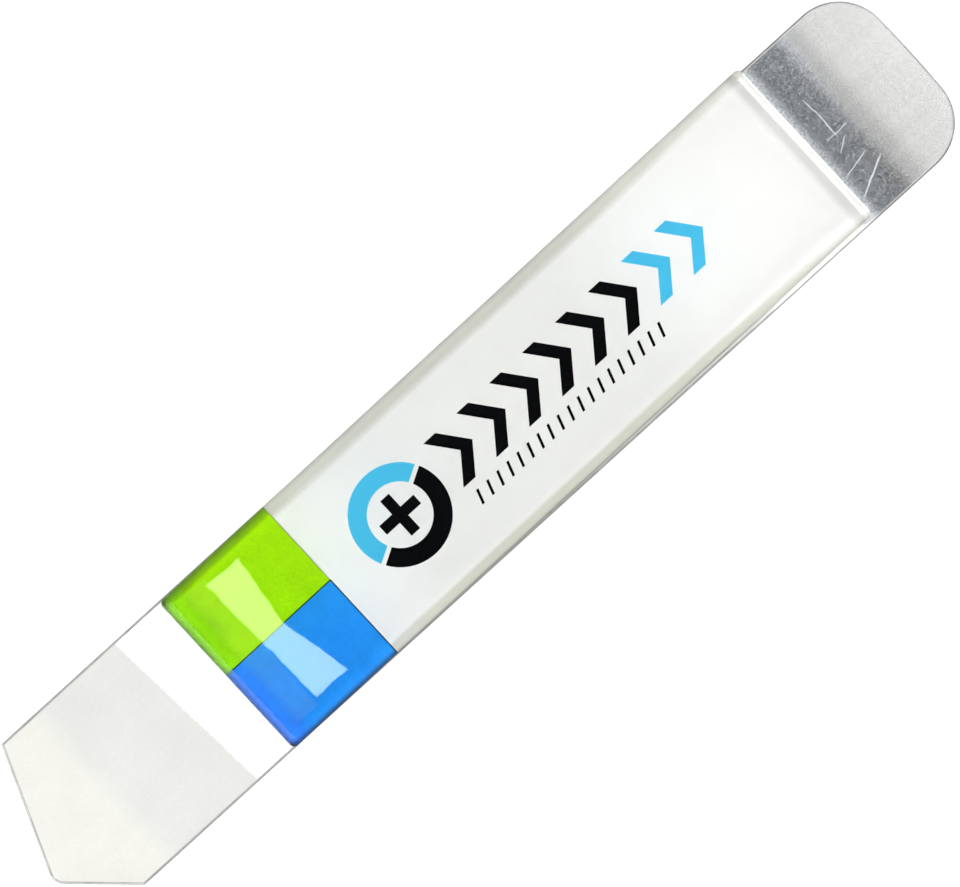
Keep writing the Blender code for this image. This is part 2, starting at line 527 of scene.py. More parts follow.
class MaterialHand(Tree):
    """The hand for one new material with a Principled shader."""

    def __init__(
        self, name: str, effects: SharedEffects | None = None, label: LabelPlan | None = None
    ) -> None:
        """Makes the material.

        Args:
            name: Its name.
            effects: The shared node groups, for a finish that uses them.
            label: Where the labels lie, for a finish that uses it.
        """
        self.made = bpy.data.materials.new(name)
        self.made.use_nodes = True
        super().__init__(self.made.node_tree)
        self.shader = self.made.node_tree.nodes["Principled BSDF"]
        self.effects, self.label = effects, label

    @cached_property
    def place(self) -> NodeSocket:
        """Object coordinates, in millimetres."""
        place = self.add("TexCoord").outputs["Object"]
        return self.add("Mapping", {"vector_type": "POINT"}, Vector=place, Scale=(1 / MM,) * 3).outputs[0]

    def grain(self, cloud: float, grain: float, stretch: float = 1.0) -> tuple[NodeSocket, NodeSocket]:
        """Mottling around 0: a soft cloud and a fine grain, sizes in millimetres, stretched along X."""
        sizes = {"Cloud_Size": cloud, "Grain_Size": grain, "Stretch": stretch}
        node = self.group(self.effects.grain, Place=self.place, **sizes)
        return node.outputs["Cloud"], node.outputs["Grain"]

    def give(self, **inputs: object) -> None:
        """Feeds the shader's inputs by name, with _ for a space."""
        for key, value in inputs.items():
            self.feed(self.shader.inputs[key.replace("_", " ")], value)

    def give_bump(self, strength: float, depth: float, height: NodeSocket) -> None:
        """Gives the shader a bump that is this deep in millimetres."""
        self.give(Normal=self.add("Bump", Strength=strength, Distance=depth * MM, Height=height).outputs[0])

    def shaded(self, tone: object, shade: NodeSocket) -> NodeSocket:
        """A colour made lighter or darker by a factor."""
        tint = self.add("CombineColor", Red=shade, Green=shade, Blue=shade).outputs[0]
        return self.blend(1.0, tone, tint, "MULTIPLY")

    def on_label(self) -> list[NodeSocket]:
        """The place in millimetres from the label's middle, along and across the label."""
        place = self.add(
            "Mapping", {"vector_type": "TEXTURE"}, Vector=self.place,
            Location=(self.label.centre[0] / MM, self.label.centre[1] / MM, 0.0),
            Rotation=(0.0, 0.0, self.label.angle),
        )
        return self.apart(place.outputs[0])


class Finish:
    """A finish that can be made into a material. Each kind has a name and wires its own nodes."""

    def material(self, effects: SharedEffects, label: LabelPlan) -> Material:
        """Makes the material.

        Args:
            effects: The shared node groups.
            label: Where the labels lie.

        Returns:
            The material.
        """
        hand = MaterialHand(self.name, effects, label)
        self.wire(hand)
        return hand.made


@dataclass(frozen=True)
class Scratch:
    """One scratch on the steel, in millimetres along and across the blade."""

    start: tuple[float, float]
    end: tuple[float, float]
    width: float = 0.09


@dataclass(frozen=True)
class SteelFinish(Finish):
    """Cold-rolled spring steel: bright rolled skin, and a satin zone ground at the pointed end."""

    name: str = "rolled_steel"
    colour: Colour = (0.57, 0.59, 0.615, 1.0)
    # painted shade: the bent part of the rounded end is painted darker, to tone down its bright reflection
    bent_end_shade_colour: Colour = (0.43, 0.43, 0.419, 1.0)
    # painted light: a lighter colour on the rougher strip just past the label at the rounded end, and under
    # the label
    painted_light_colour: Colour = (0.90, 0.90, 0.90, 1.0)
    painted_light_at_rounded_end: float = 0.38  # the share of it just past the label there
    satin_colour: Colour = (0.547, 0.547, 0.533, 1.0)
    tip_colour: Colour = (0.59, 0.587, 0.555, 1.0)
    pit_colour: Colour = (0.22, 0.21, 0.20, 1.0)
    # painted shadow: the dark line along the foot of the label's -Y edge
    foot_shadow_colour: Colour = (0.17, 0.17, 0.16, 1.0)
    scratch_colour: Colour = (0.95, 0.96, 1.0, 1.0)
    roughness: float = 0.25
    satin_roughness: float = 0.62
    satin_from: float = -38.0  # millimetres along the blade
    satin_slant: float = 0.075  # how far the boundary leans, per millimetre across
    tip_from: float = -48.5
    shade_edge_slant: float = -0.1
    bump: float = 0.045
    foot_shadow_reach: float = 0.42  # millimetres from the label's edge
    foot_shadow_end: tuple[float, float] = (23.0, 29.0)  # millimetres along the label
    foot_shadow_strength: float = 0.4
    scratches: tuple[Scratch, ...] = (
        Scratch((47.7, 3.6), (47.9, -1.7), 0.08),
        Scratch((46.7, -1.1), (49.6, -1.0), 0.07),
        Scratch((45.6, -5.1), (49.1, -4.3), 0.08),
        Scratch((45.4, -7.9), (50.0, -5.5), 0.12),
        Scratch((46.9, -2.9), (48.4, -1.9), 0.06),
    )

    def wire(self, hand: MaterialHand) -> None:
        """Wires the steel of the blade's two faces.

        Args:
            hand: The material's hand.
        """
        along, across, _ = hand.apart(hand.place)
        cloud, grain = hand.grain(5.0, 0.25)
        rolled_cloud, rolled_grain = hand.grain(0.9, 0.12, 18.0)
        label_end = (hand.label.centre[0] + hand.label.length / 2) / MM
        uneven = hand.math("MULTIPLY_ADD", grain, 0.9, along)
        # a rougher strip just past the label at the rounded end, and under the label; its colour is painted
        # light
        matt_and_painted_light = hand.math(
            "MULTIPLY", hand.span(uneven, label_end - 0.4, label_end + 1.3, 1.0, 0.0),
            hand.span(along, label_end - 2.5, label_end - 0.6, 1.0, self.painted_light_at_rounded_end),
        )
        edge = hand.math("MULTIPLY_ADD", across, self.satin_slant, along)
        ragged = hand.math("MULTIPLY_ADD", grain, 0.35, edge)
        satin = hand.span(ragged, self.satin_from + 0.22, self.satin_from - 0.22)
        tip = hand.span(along, self.tip_from + 0.8, self.tip_from - 1.6)
        # the bent part of the rounded end is painted darker as shade, its edge slanting across the blade
        slanted = hand.math("MULTIPLY_ADD", across, self.shade_edge_slant, along)
        level = hand.span(slanted, label_end + 3.0, label_end + 6.0)
        tone = hand.blend(level, self.colour, self.bent_end_shade_colour)
        for share, colour in ((matt_and_painted_light, self.painted_light_colour), (satin, self.satin_colour), (tip, self.tip_colour)):
            tone = hand.blend(share, tone, colour)
        speckle = hand.math(
            "MULTIPLY", hand.span(along, label_end + 3.2, label_end + 6.5, 2.0, 0.25),
            hand.span(matt_and_painted_light, 0.0, 1.0, 1.0, 0.05),
        )
        shade = hand.math("MULTIPLY_ADD", grain, speckle, hand.math("MULTIPLY_ADD", cloud, 0.12, 1.0))
        mottled = hand.shaded(tone, shade)
        specks = hand.group(hand.effects.specks, Place=hand.place, Spacing=3.1, Radius=0.12, Share=0.22)
        pits = hand.math("MULTIPLY", hand.math("MULTIPLY", specks.outputs["Mask"], satin), 0.4)
        mottled = hand.blend(pits, mottled, self.pit_colour)
        # lays the painted shadow along the foot of the label's -Y edge
        mottled = hand.blend(self._foot_shadow(hand), mottled, self.foot_shadow_colour)
        worn = self._scratched(hand)
        bright = hand.math("MULTIPLY", worn, 0.8)
        rough = hand.span(matt_and_painted_light, 0.0, 1.0, self.roughness, self.satin_roughness, smooth=False)
        rough = hand.math("MULTIPLY_ADD", rolled_cloud, 0.06, rough)
        rough = hand.math("MULTIPLY_ADD", worn, 0.14, rough)
        height = hand.math("MULTIPLY_ADD", worn, -0.5, hand.math("MULTIPLY_ADD", rolled_grain, 0.15, grain))
        hand.give(
            Base_Color=hand.blend(bright, mottled, self.scratch_colour),
            Roughness=hand.math("MAXIMUM", rough, 0.05), Metallic=1.0,
        )
        hand.give_bump(self.bump, 0.02, height)

    def _scratched(self, hand: MaterialHand) -> NodeSocket:
        """All the scratches together, 1 on them and 0 off them."""
        worn = 0.0
        for scratch in self.scratches:
            mark = hand.group(
                hand.effects.scratch, Place=hand.place, From=(*scratch.start, 0.0), To=(*scratch.end, 0.0),
                Width=scratch.width, Wander=0.5,
            )
            worn = hand.math("MAXIMUM", worn, mark.outputs["Mask"])
        return worn

    def _foot_shadow(self, hand: MaterialHand) -> NodeSocket:
        """Painted shadow along the foot of the label's -Y edge, thinning out to the rounded end.

        Args:
            hand: The material's hand.

        Returns:
            How strong the painted shadow is, from 0 to 1.
        """
        along, across, _ = hand.on_label()
        beyond = hand.math("SUBTRACT", -hand.label.width / 2 / MM, across)
        fading = hand.span(beyond, 0.12, self.foot_shadow_reach, 1.0, 0.0)
        near = hand.math("MULTIPLY", hand.span(beyond, -0.1, 0.0), fading)
        thinned = hand.span(along, *self.foot_shadow_end, 1.0, 0.0)
        return hand.math("MULTIPLY", near, hand.math("MULTIPLY", thinned, self.foot_shadow_strength))


@dataclass(frozen=True)
class RimFinish(Finish):
    """The blade's sheared rim, duller than its faces, or the burnished line beside it, with painted light
    beside the label's last third and painted shade at the rounded end.
    """

    name: str
    colour: Colour
    # painted light: the tone beside the label's last third
    beside_label_lit_colour: Colour  # along the label's last third, before the rounded end
    pointed_colour: Colour
    roughness: float

    def wire(self, hand: MaterialHand) -> None:
        """Wires the steel of the rim.

        Args:
            hand: The material's hand.
        """
        along = hand.apart(hand.place)[0]
        cloud, grain = hand.grain(2.0, 0.08)
        # painted lighter beside the label's last third and darker at the rounded end, as light and shade
        tone = hand.blend(hand.span(along, 26.0, 34.0), self.pointed_colour, self.beside_label_lit_colour)
        tone = hand.blend(hand.span(along, 43.5, 46.0), tone, self.colour)
        hand.give(
            Base_Color=hand.shaded(tone, hand.math("MULTIPLY_ADD", cloud, 0.9, 1.0)),
            Roughness=hand.math("MULTIPLY_ADD", grain, 0.3, self.roughness), Metallic=1.0,
        )
        hand.give_bump(0.4, 0.02, grain)


class Side(Enum):
    """A label's sides in its own frame: the axis that each is reached along, and its sense."""

    UPPER = (1, 1.0)
    LOWER = (1, -1.0)
    POINTED = (0, -1.0)


@dataclass(frozen=True)
class Border:
    """A border of painted light and shade on the film: its tone up to one distance from the edge, easing to
    none at another.
    """

    side: Side
    flat: float  # millimetres
    faded: float  # millimetres
    tone: Colour


@dataclass(frozen=True)
class FilmFinish(Finish):
    """A printed vinyl face film: uneven print, specks, and painted shade and light at its borders and along
    it.
    """

    name: str
    colour: Colour
    # a tone painted along the label as light and shade: on the white film lighter towards the rounded end, on
    # the coloured panels darker at the pointed end
    second_colour: Colour
    second_from: float  # millimetres along the label, where the second colour starts
    second_full: float
    borders: tuple[Border, ...] = ()
    narrowing: tuple[float, float] = (18.0, 39.0)  # where along it the long borders narrow, in millimetres
    narrowed: float = 0.5  # by how much
    # the soft line inside the rounded end is painted shade
    end_shade_line: float = 0.0  # how strong the soft line inside the rounded end is
    roughness: float = 0.4
    unevenness: float = 0.06
    speck_colour: Colour = (0.6, 0.6, 0.56, 1.0)
    speck_share: float = 0.12

    def wire(self, hand: MaterialHand) -> None:
        """Wires the film.

        Args:
            hand: The material's hand.
        """
        cloud, grain = hand.grain(3.2, 0.25)
        places = hand.on_label()
        # the tone along the label, painted as light and shade
        wander = hand.math("MULTIPLY_ADD", cloud, 2.0, places[0])
        second = hand.span(wander, self.second_from, self.second_full)
        tone = hand.blend(second, self.colour, self.second_colour)
        halves = (hand.label.length / 2 / MM, hand.label.width / 2 / MM)
        shade = hand.math("MULTIPLY_ADD", cloud, self.unevenness, 1.0)
        shade = hand.math("MULTIPLY_ADD", grain, self.unevenness, shade)
        if self.end_shade_line:
            # painted shade: a soft line inside the rounded end
            inset = hand.math("SUBTRACT", halves[0], places[0])
            line = hand.math("MULTIPLY", hand.span(inset, 0.7, 0.95), hand.span(inset, 1.25, 2.3, 1.0, 0.0))
            shade = hand.math("MULTIPLY", shade, hand.math("MULTIPLY_ADD", line, -self.end_shade_line, 1.0))
        specks = hand.group(
            hand.effects.specks, Place=hand.place, Spacing=1.9, Radius=0.13, Share=self.speck_share
        )
        printed = hand.shaded(tone, shade)
        # the borders' painted shade and light
        for border in self.borders:
            axis, sense = border.side.value
            inset = hand.math("MULTIPLY_ADD", places[axis], -sense, halves[axis])
            if axis:
                narrow = hand.span(places[0], *self.narrowing, 0.0, self.narrowed, smooth=False)
                inset = hand.math("ADD", inset, narrow)
            share = hand.span(inset, border.flat, border.faded, 1.0, 0.0)
            printed = hand.blend(share, printed, border.tone, "MULTIPLY")
        faint = hand.math("MULTIPLY", specks.outputs["Mask"], 0.35)
        hand.give(
            Base_Color=hand.blend(faint, printed, self.speck_colour),
            Roughness=hand.math("MULTIPLY_ADD", grain, 0.2, self.roughness),
            Specular_IOR_Level=0.0,  # it is wetted by resin, so it has no gloss
        )
        hand.give_bump(0.15, 0.01, grain)


@dataclass(frozen=True)
class InkFinish(Finish):
    """Screen-printed ink: a flat colour that is a little thin in places."""

    name: str
    colour: Colour
    thin_colour: Colour

    def wire(self, hand: MaterialHand) -> None:
        """Wires the ink.

        Args:
            hand: The material's hand.
        """
        cloud, grain = hand.grain(2.4, 0.15)
        thin = hand.math("MULTIPLY_ADD", cloud, 0.4, hand.span(grain, 0.05, 0.3, 0.0, 0.5), clamp=True)
        hand.give(
            Base_Color=hand.blend(thin, self.colour, self.thin_colour),
            Roughness=hand.math("MULTIPLY_ADD", cloud, 0.2, 0.45),
            Specular_IOR_Level=0.0,  # it is wetted by resin, so it has no gloss
        )


@dataclass(frozen=True)
class AdhesiveFinish(Finish):
    """The pressure-sensitive adhesive sheet, milky and slightly lumpy where its rim shows."""

    name: str = "label_adhesive"
    colour: Colour = (0.74, 0.73, 0.69, 1.0)
    dusty_colour: Colour = (0.55, 0.54, 0.50, 1.0)

    def wire(self, hand: MaterialHand) -> None:
        """Wires the adhesive.

        Args:
            hand: The material's hand.
        """
        cloud, grain = hand.grain(1.5, 0.12)
        hand.give(
            Base_Color=hand.blend(hand.span(cloud, -0.05, 0.25), self.colour, self.dusty_colour),
            Roughness=hand.math("MULTIPLY_ADD", grain, 0.3, 0.6),
        )
        hand.give_bump(0.4, 0.03, cloud)


@dataclass(frozen=True)
class ResinFinish(Finish):
    """The clear poured resin: glassy, faintly wavy, with hairline handling marks."""

    name: str = "clear_resin"
    colour: Colour = (0.985, 0.99, 0.985, 1.0)
    roughness: float = 0.008
    refraction: float = 1.5
    wave: float = 0.03
    rubbed: float = 0.6  # the roughness of the shoulder at the pointed end
    rubbed_width: float = 0.9  # millimetres

    def wire(self, hand: MaterialHand) -> None:
        """Wires the resin.

        Args:
            hand: The material's hand.
        """
        worn = hand.span(hand.grain(0.6, 0.2, 9.0)[0], 0.18, 0.34, 0.0, 0.012)
        shoulder = self.rubbed_width - hand.label.length / 2 / MM
        rubbed = hand.span(hand.on_label()[0], shoulder - 0.1, shoulder + 0.05, self.rubbed, 0.0)
        hand.give(
            Base_Color=self.colour,
            Roughness=hand.math("ADD", hand.math("ADD", worn, self.roughness), rubbed),
            Transmission_Weight=1.0, IOR=self.refraction,
        )
        hand.give_bump(self.wave, 0.1, hand.grain(9.0, 0.5, 1.6)[0])


class Ink(Enum):
    """The inks printed on the label."""

    BLACK = "black_ink"
    CYAN = "cyan_ink"


class Panel(Enum):
    """The three butted panels of the label's face film, by the end of their node's name."""

    WHITE = "white_film"
    GREEN = "green_panel"
    BLUE = "blue_panel"


# Painted shade along the coloured panels' pointed end. The resin's shoulder bends what is seen inwards:
# nothing nearer the film's edge than 0.4 mm shows.
END_BORDER = Border(Side.POINTED, 0.48, 0.6, grey(0.35))
FILMS = {
    Panel.WHITE: FilmFinish(
        # its second colour, lighter towards the rounded end, is painted light
        "white_vinyl", (0.915, 0.92, 0.90, 1.0), (0.995, 0.995, 0.98, 1.0), 10.0, 24.0,
        borders=(
            # painted shade along the long sides where the resin's edge shades the film, a painted shadow line
            # at the -Y edge, and painted light next to the coloured panels
            Border(Side.UPPER, 0.9, 1.9, (0.63, 0.63, 0.585, 1.0)),
            Border(Side.LOWER, 0.85, 1.35, (0.68, 0.675, 0.61, 1.0)),
            Border(Side.LOWER, 0.42, 0.6, (0.62, 0.60, 0.58, 1.0)),
            Border(Side.POINTED, 15.5, 29.0, grey(1.06)),
        ),
        # a soft painted shade line inside the rounded end
        end_shade_line=0.28,
    ),
    # the coloured panels get painted shade along their outer long side and their pointed end
    Panel.GREEN: FilmFinish(
        # its darker first colour at the pointed end is painted shade
        "green_vinyl", (0.288, 0.727, 0.006, 1.0), (0.4155, 0.851, 0.003, 1.0), -37.7, -35.7,
        borders=(Border(Side.UPPER, 0.55, 1.25, grey(0.36)), END_BORDER), unevenness=0.25, speck_share=0.0,
    ),
    Panel.BLUE: FilmFinish(
        # its darker first colour at the pointed end is painted shade
        "blue_vinyl", (0.032, 0.231, 0.915, 1.0), (0.023, 0.326, 0.945, 1.0), -37.7, -35.7,
        borders=(Border(Side.LOWER, 0.46, 0.85, grey(0.22)), END_BORDER), unevenness=0.25, speck_share=0.0,
    ),
}
INKS = {
    Ink.BLACK: InkFinish("black_ink", (0.002, 0.002, 0.002, 1.0), (0.005, 0.005, 0.006, 1.0)),
    Ink.CYAN: InkFinish("cyan_ink", (0.075, 0.56, 0.87, 1.0), (0.10, 0.59, 0.88, 1.0)),
}
SHEARED_RIM = RimFinish("sheared_rim", grey(0.20), (0.38, 0.38, 0.37, 1.0), (0.35, 0.35, 0.34, 1.0), 0.5)
BURNISHED_LINE = RimFinish(
    "burnished_line", grey(0.40), (0.80, 0.80, 0.79, 1.0), (0.34, 0.34, 0.33, 1.0), 0.55
)


class Palette:
    """Every finish of the tool as a material, each made once."""

    def __init__(self, effects: SharedEffects, label: LabelPlan) -> None:
        """Makes the materials.

        Args:
            effects: The shared node groups.
            label: Where the labels lie.
        """
        self.steel = SteelFinish().material(effects, label)
        self.sheared = SHEARED_RIM.material(effects, label)
        self.burnished = BURNISHED_LINE.material(effects, label)
        self.adhesive = AdhesiveFinish().material(effects, label)
        self.resin = ResinFinish().material(effects, label)
        self.panels = {panel: film.material(effects, label) for panel, film in FILMS.items()}
        self.inks = {ink: finish.material(effects, label) for ink, finish in INKS.items()}


# ---- Sub-assemblies ----


def dress(piece: Object, finish: Material) -> None:
    """Gives a piece one material."""
    piece.data.materials.clear()
    piece.data.materials.append(finish)


def hand_over(piece: Object, nodes: tuple[str, ...] = ()) -> None:
    """Puts a finished piece on its body and reports it.

    Args:
        piece: The finished piece.
        nodes: The CAD nodes that it stands for.
    """
    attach(piece, BODY)
    if nodes:
        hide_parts(*nodes)
    log.info("%s: %d faces", piece.name, len(piece.data.polygons))


@dataclass(frozen=True)
class Bend:
    """One station of a bare end's bending: its distance from the label's end and the tilt there."""

    reach: float
    tilt: float


@dataclass
class Blade:
    """The one-piece spring-steel blade."""

    upper_cut: float = 5.3 * MM  # how far the point's cut starts from the end, on the +Y side
    lower_cut: float = 6.45 * MM  # the same on the -Y side
    tip_across: float = -3.75 * MM  # from the centre line
    tip_overshoot: float = 0.3 * MM
    tip_round: float = 0.95 * MM
    end_round: float = 5.2 * MM
    end_bow: float = 0.4 * MM
    end_bow_round: float = 4.2 * MM
    rim: float = 0.09 * MM
    dull_line: float = 0.06 * MM  # the flat part of the dull rim
    burnished_line: float = 0.10 * MM
    bend_spacing: float = 0.5 * MM
    smooth_below: float = math.radians(25)
    rounded_bends: tuple[Bend, ...] = (
        Bend(0.0, 0.0), Bend(3.5 * MM, 0.0), Bend(5.4 * MM, math.radians(3.2)),
        Bend(8.0 * MM, math.radians(4.25)), Bend(15.0 * MM, math.radians(4.25)),
    )
    pointed_bends: tuple[Bend, ...] = (
        Bend(0.0, 0.0), Bend(15.5 * MM, 0.0), Bend(17.0 * MM, math.radians(-1.0)),
        Bend(27.0 * MM, math.radians(-1.0)),
    )

    def build(self, palette: Palette) -> Object:
        """Models and dresses the blade.

        Args:
            palette: The tool's materials.

        Returns:
            The blade.
        """
        low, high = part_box("blade")
        extents = high - low + Vector((2 * self.tip_overshoot, 0, 0))
        blade = start_box("steel_blade", (low + high) / 2, extents)
        self._cut_point(blade, low, high)
        self._round_end(blade, low, high)
        self._ease_rim(blade)
        label_low, label_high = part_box("front_resin_dome")
        for start, outward, bends in (
            (label_high.x, 1.0, self.rounded_bends), (label_low.x, -1.0, self.pointed_bends),
        ):
            self._bend(blade, start, outward, bends)
        self._dress(blade, palette)
        close_piece(blade, self.smooth_below)
        hand_over(blade, ("blade",))
        return blade

    def _cut_point(self, blade: Object, low: Vector, high: Vector) -> None:
        """Cuts the off-centre point and rounds its tip.

        Args:
            blade: The open box.
            low: The blade's lowest corner.
            high: The blade's highest corner.
        """
        tip = Vector((low.x - self.tip_overshoot / 2, (low.y + high.y) / 2 + self.tip_across, 0.0))
        upper = Vector((low.x + self.upper_cut, high.y, 0.0))
        lower = Vector((low.x + self.lower_cut, low.y, 0.0))
        for start, end in ((tip, upper), (lower, tip)):
            run = end - start
            cut_away(start, Vector((-run.y, run.x, 0.0)))
        select_uprights(blade, [tip])
        round_off(self.tip_round, segments=10)

    def _round_end(self, blade: Object, low: Vector, high: Vector) -> None:
        """Bows the blunt end and rounds its corners.

        Args:
            blade: The open blade.
            low: The blade's lowest corner.
            high: The blade's highest corner.
        """
        nose = Vector((high.x, (low.y + high.y) / 2, 0.0))
        corners = [Vector((high.x - self.end_bow, side, 0.0)) for side in (low.y, high.y)]
        for corner in corners:
            run = nose - corner
            outward = Vector((abs(run.y), run.x * math.copysign(1.0, corner.y), 0.0))
            cut_away(nose, outward)
        for places, offset, segments in ((corners, self.end_round, 24), ([nose], self.end_bow_round, 8)):
            select_uprights(blade, places)
            round_off(offset, segments)

    def _ease_rim(self, blade: Object) -> None:
        """Rounds the sheared rim, and marks off its flat part and the burnished line inside."""
        select_where(blade, "FACE", lambda f: abs(f.normal.z) > LEVEL)
        bpy.ops.mesh.region_to_loop()
        round_off(self.rim, segments=2)
        select_where(blade, "FACE", lambda f: abs(f.normal.z) > LEVEL)
        bpy.ops.mesh.inset(thickness=self.dull_line)
        bpy.ops.mesh.inset(thickness=self.burnished_line)

    def _bend(self, blade: Object, start: float, outward: float, bends: tuple[Bend, ...]) -> None:
        """Scores a bare end across, then lowers it row by row along the bend's profile.

        Args:
            blade: The open blade.
            start: Where the label ends.
            outward: 1 for the end at +X, -1 for the end at -X.
            bends: The bending's stations, from the label outwards.
        """
        steps = int(bends[-1].reach / self.bend_spacing)
        score_across(start + outward * index * self.bend_spacing for index in range(steps))
        mesh = bmesh.from_edit_mesh(blade.data)
        rows = sorted({round((v.co.x - start) * outward / NEAR) * NEAR for v in mesh.verts})
        drop, previous = 0.0, 0.0
        for reach in rows:
            if reach <= 0.0:
                continue
            drop += (reach - previous) * math.tan(self._tilt_at((reach + previous) / 2, bends))
            previous = reach
            if drop != 0.0:
                select_where(
                    blade, "VERT", lambda v, r=reach: abs((v.co.x - start) * outward - r) < NEAR * 0.5001
                )
                bpy.ops.transform.translate(value=(0.0, 0.0, -drop))

    @staticmethod
    def _tilt_at(reach: float, bends: tuple[Bend, ...]) -> float:
        """The tilt at a distance from the label's end.

        Args:
            reach: The distance.
            bends: The bending's stations.

        Returns:
            The tilt, eased between the two stations that it lies between.
        """
        for inner, outer in zip(bends, bends[1:]):
            if reach <= outer.reach:
                share = (reach - inner.reach) / (outer.reach - inner.reach)
                eased = share * share * (3 - 2 * share)
                return inner.tilt + (outer.tilt - inner.tilt) * eased
        return bends[-1].tilt

    def _dress(self, blade: Object, palette: Palette) -> None:
        """Gives the faces rolled steel, the rim sheared steel and the line beside it burnished steel.

        Args:
            blade: The open blade.
            palette: The tool's materials.
        """
        for finish in (palette.steel, palette.sheared, palette.burnished):
            blade.data.materials.append(finish)
        select_where(blade, "FACE", lambda f: abs(f.normal.z) < LEVEL)
        bpy.ops.mesh.select_more()
        blade.active_material_index = 1
        bpy.ops.object.material_slot_assign()
        bpy.ops.mesh.select_more()
        mesh = bmesh.from_edit_mesh(blade.data)
        for face in mesh.faces:
            if face.material_index == 1:
                face.select_set(False)
        bmesh.update_edit_mesh(blade.data)
        blade.active_material_index = 2
        bpy.ops.object.material_slot_assign()


@dataclass
class PrintedMarks:
    """The marks printed on the film: a ring badge, chevrons, dashes and a line along the panels' joints."""

    floor: float  # the height that the ink stands on
    joint_start: float  # the coloured panels' outer end
    joint_corner: float  # where they meet the white panel
    joint_depth: float  # the film's lower edge
    height: float = 0.012 * MM

    badge_at: tuple[float, float] = (-15.5 * MM, 0.05 * MM)
    badge_radius: float = 5.2 * MM
    ring_sides: int = 96
    ring_width: float = 1.9 * MM
    ring_gap: float = 0.45 * MM
    ring_lean: float = -0.55
    cross_reach: float = 2.3 * MM
    cross_width: float = 1.15 * MM

    row_start: float = -8.3 * MM
    row_pitch: float = 4.42 * MM
    row_across: float = 0.7 * MM
    chevron_height: float = 5.9 * MM
    chevron_width: float = 1.6 * MM
    chevron_lean: float = 2.3 * MM
    black_count: int = 6
    cyan_count: int = 2

    dash_start: float = -8.7 * MM
    dash_pitch: float = 1.35 * MM
    dash_across: float = -4.0 * MM
    dash_height: float = 1.5 * MM
    dash_width: float = 0.3 * MM
    dash_lean: float = 0.5 * MM
    dash_count: int = 19

    joint_width: float = 0.12 * MM

    def build(self, side: str) -> list[tuple[Object, Ink]]:
        """Models all the marks of one label, in the label's own frame.

        Args:
            side: The first part of each piece's name.

        Returns:
            Each piece with its ink.
        """
        return [
            (self._half_ring(f"{side}_badge_upper_ring", 1.0), Ink.CYAN),
            (self._half_ring(f"{side}_badge_lower_ring", -1.0), Ink.BLACK),
            (self._cross(f"{side}_badge_cross"), Ink.BLACK),
            (self._chevrons(f"{side}_black_chevrons", 0, self.black_count), Ink.BLACK),
            (self._chevrons(f"{side}_cyan_chevrons", self.black_count, self.cyan_count), Ink.CYAN),
            (self._dashes(f"{side}_fine_dashes"), Ink.BLACK),
            (self._joint_line(f"{side}_joint_line"), Ink.BLACK),
        ]

    def _half_ring(self, name: str, upward: float) -> Object:
        """Half of the badge's ring.

        Args:
            name: The piece's name.
            upward: 1 for the half on the +Y side, -1 for the other.

        Returns:
            The half ring.
        """
        centre = Vector((*self.badge_at, self.floor))
        piece = start_piece(
            name, bpy.ops.mesh.primitive_circle_add, centre,
            vertices=self.ring_sides, radius=self.badge_radius, fill_type="NGON",
        )
        bpy.ops.mesh.select_all(action="SELECT")
        bpy.ops.mesh.inset(thickness=self.ring_width)
        bpy.ops.mesh.delete(type="FACE")
        bpy.ops.mesh.select_all(action="SELECT")
        # The cut leans, so that the two halves meet along the blade's diagonal.
        normal = Vector((self.ring_lean, 1.0, 0.0)).normalized() * upward
        place = centre + normal * self.ring_gap / 2
        bpy.ops.mesh.bisect(plane_co=place, plane_no=normal, clear_inner=True, threshold=ON_PLANE)
        return raise_sheet(piece, self.height)

    def _cross(self, name: str) -> Object:
        """The plus in the badge's middle, like a cross-head screw's recess.

        Args:
            name: The piece's name.

        Returns:
            The cross.
        """
        centre = Vector((*self.badge_at, self.floor))
        piece = start_strip(name, centre, self.cross_width, self.cross_width)
        for axis in (Vector((1.0, 0.0, 0.0)), Vector((0.0, 1.0, 0.0))):
            for way in (1.0, -1.0):
                edge = centre + axis * way * self.cross_width / 2
                grow_arm(piece, edge, axis * way * (self.cross_reach - self.cross_width / 2))
        return raise_sheet(piece, self.height)

    def _chevrons(self, name: str, first: int, count: int) -> Object:
        """Part of the row of chevrons that points at the rounded end.

        Args:
            name: The piece's name.
            first: Which place in the row it starts at.
            count: How many chevrons it has.

        Returns:
            The chevrons, joined.
        """
        start = Vector((self.row_start, self.row_across, self.floor))
        piece = start_strip(name, start, self.chevron_width, self.chevron_height)
        bpy.ops.mesh.select_all(action="SELECT")
        bpy.ops.mesh.subdivide(number_cuts=1)
        select_where(piece, "VERT", lambda v: abs(v.co.y - self.row_across) < NEAR)
        bpy.ops.transform.translate(value=(self.chevron_lean, 0.0, 0.0))
        raise_sheet(piece, self.height)
        shifts = [Vector(((first + index) * self.row_pitch, 0.0, 0.0)) for index in range(count)]
        return copies_joined(piece, name, shifts)

    def _dashes(self, name: str) -> Object:
        """The fine row of leaning dashes under the chevrons.

        Args:
            name: The piece's name.

        Returns:
            The dashes, joined.
        """
        start = Vector((self.dash_start, self.dash_across, self.floor))
        piece = start_strip(name, start, self.dash_width, self.dash_height)
        select_where(piece, "VERT", lambda v: v.co.y > self.dash_across)
        bpy.ops.transform.translate(value=(self.dash_lean, 0.0, 0.0))
        raise_sheet(piece, self.height)
        shifts = [Vector((index * self.dash_pitch, 0.0, 0.0)) for index in range(self.dash_count)]
        return copies_joined(piece, name, shifts)

